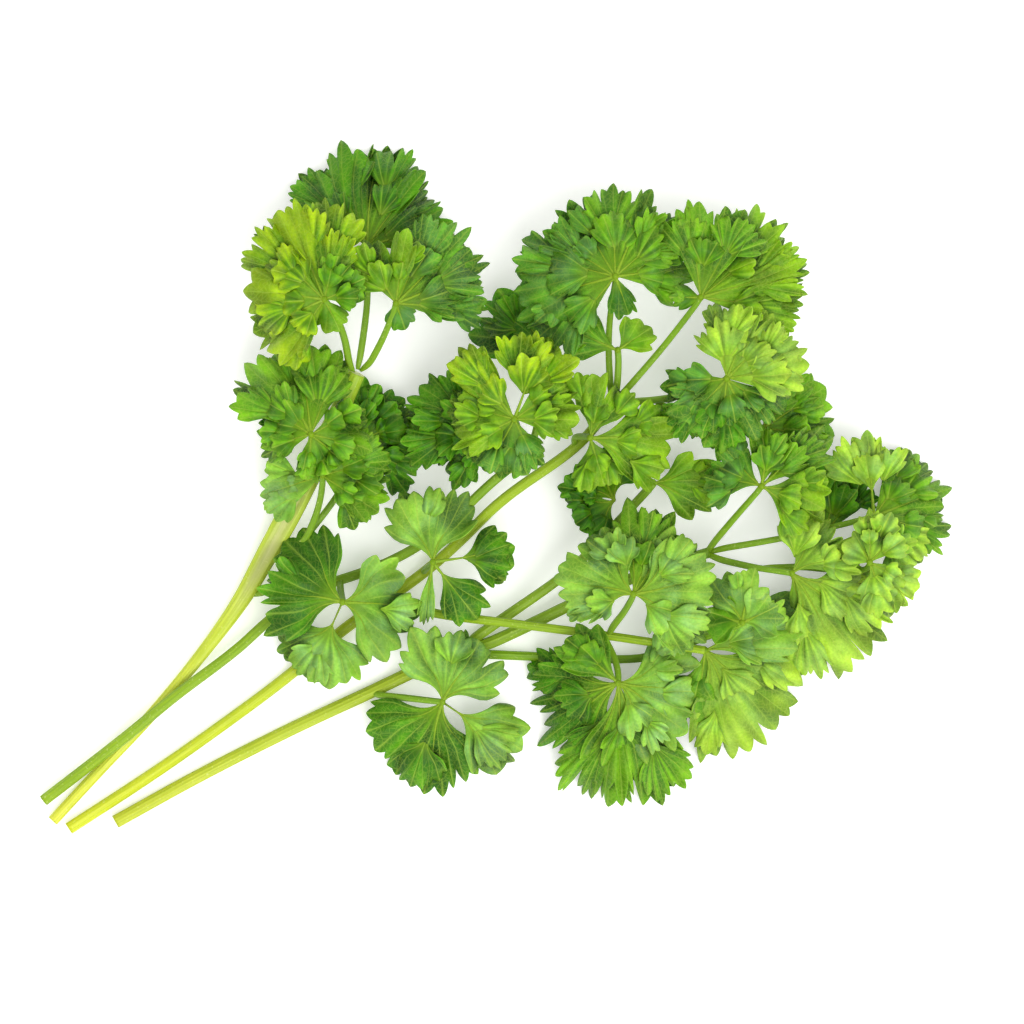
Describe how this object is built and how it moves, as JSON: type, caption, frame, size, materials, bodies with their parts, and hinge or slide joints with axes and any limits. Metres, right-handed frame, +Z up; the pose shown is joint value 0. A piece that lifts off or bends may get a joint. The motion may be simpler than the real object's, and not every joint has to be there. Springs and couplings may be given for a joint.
{
  "type": "parsley bunch",
  "caption": "Bunch of curly parsley lying on its side: long cut stems run together and fan out into branching stalks with ruffled, toothed leaves.",
  "frame": {"origin": "the point on the resting surface under the middle of the bunch's bounding box", "axes": "+Z up from the surface the bunch lies on; +X towards the leaves along the bunch's longest side, so the cut ends lie at -X -Y and the leaves fan out towards +X +Y"},
  "size_m": [0.2294, 0.1728, 0.0328],
  "materials": {
    "stem_yellow_green": "satin",
    "stem_green": "satin",
    "stalk_green": "satin",
    "leaf_dark": "matte",
    "leaf_green": "matte",
    "leaf_light": "matte"
  },
  "bodies": {
    "root": {"leaf_northwest_left": "leaf_green", "leaf_northwest_tip": "leaf_dark", "leaf_northwest_right": "leaf_green", "leaf_west_top": "leaf_green", "leaf_west_inner": "leaf_dark", "leaf_west_low": "leaf_green", "leaf_centre_top": "leaf_light", "leaf_centre_back": "leaf_dark", "leaf_north_tip": "leaf_dark", "leaf_north_small": "leaf_green", "leaf_north_back": "leaf_dark", "leaf_northeast_tip": "leaf_green", "leaf_northeast_low": "leaf_light", "leaf_northeast_edge": "leaf_green", "leaf_middle_right": "leaf_green", "leaf_middle_dark": "leaf_dark", "leaf_inner_fan": "leaf_green", "leaf_east_inner": "leaf_green", "leaf_east_tip": "leaf_green", "leaf_east_outer": "leaf_light", "leaf_east_low": "leaf_light", "leaf_east_back": "leaf_dark", "leaf_southeast_low": "leaf_light", "leaf_southeast_top": "leaf_light", "leaf_south_top": "leaf_light", "leaf_south_tip": "leaf_green", "leaf_lower_west": "leaf_dark", "leaf_lower_south": "leaf_green", "leaf_lower_centre": "leaf_green", "stem_pale": "stem_yellow_green", "stem_dark": "stem_green", "stem_yellow": "stem_yellow_green", "stem_thick": "stem_yellow_green", "stem_side": "stem_green", "branch_north": "stem_green", "branch_east": "stem_green", "branch_south": "stem_green", "stalk_northwest_left": "stalk_green", "stalk_northwest_tip": "stalk_green", "stalk_northwest_right": "stalk_green", "stalk_west_top": "stalk_green", "stalk_west_inner": "stalk_green", "stalk_west_low": "stalk_green", "stalk_centre_top": "stalk_green", "stalk_north_tip": "stalk_green", "stalk_north_small": "stalk_green", "stalk_north_back": "stalk_green", "stalk_northeast_tip": "stalk_green", "stalk_northeast_low": "stalk_green", "stalk_northeast_edge": "stalk_green", "stalk_middle_right": "stalk_green", "stalk_east_inner": "stalk_green", "stalk_east_tip": "stalk_green", "stalk_east_low": "stalk_green", "stalk_east_outer": "stalk_green", "stalk_south_top": "stalk_green", "stalk_south_tip": "stalk_green", "stalk_lower_west": "stalk_green", "stalk_lower_south": "stalk_green", "stalk_lower_centre": "stalk_green"}
  },
  "joints": []
}
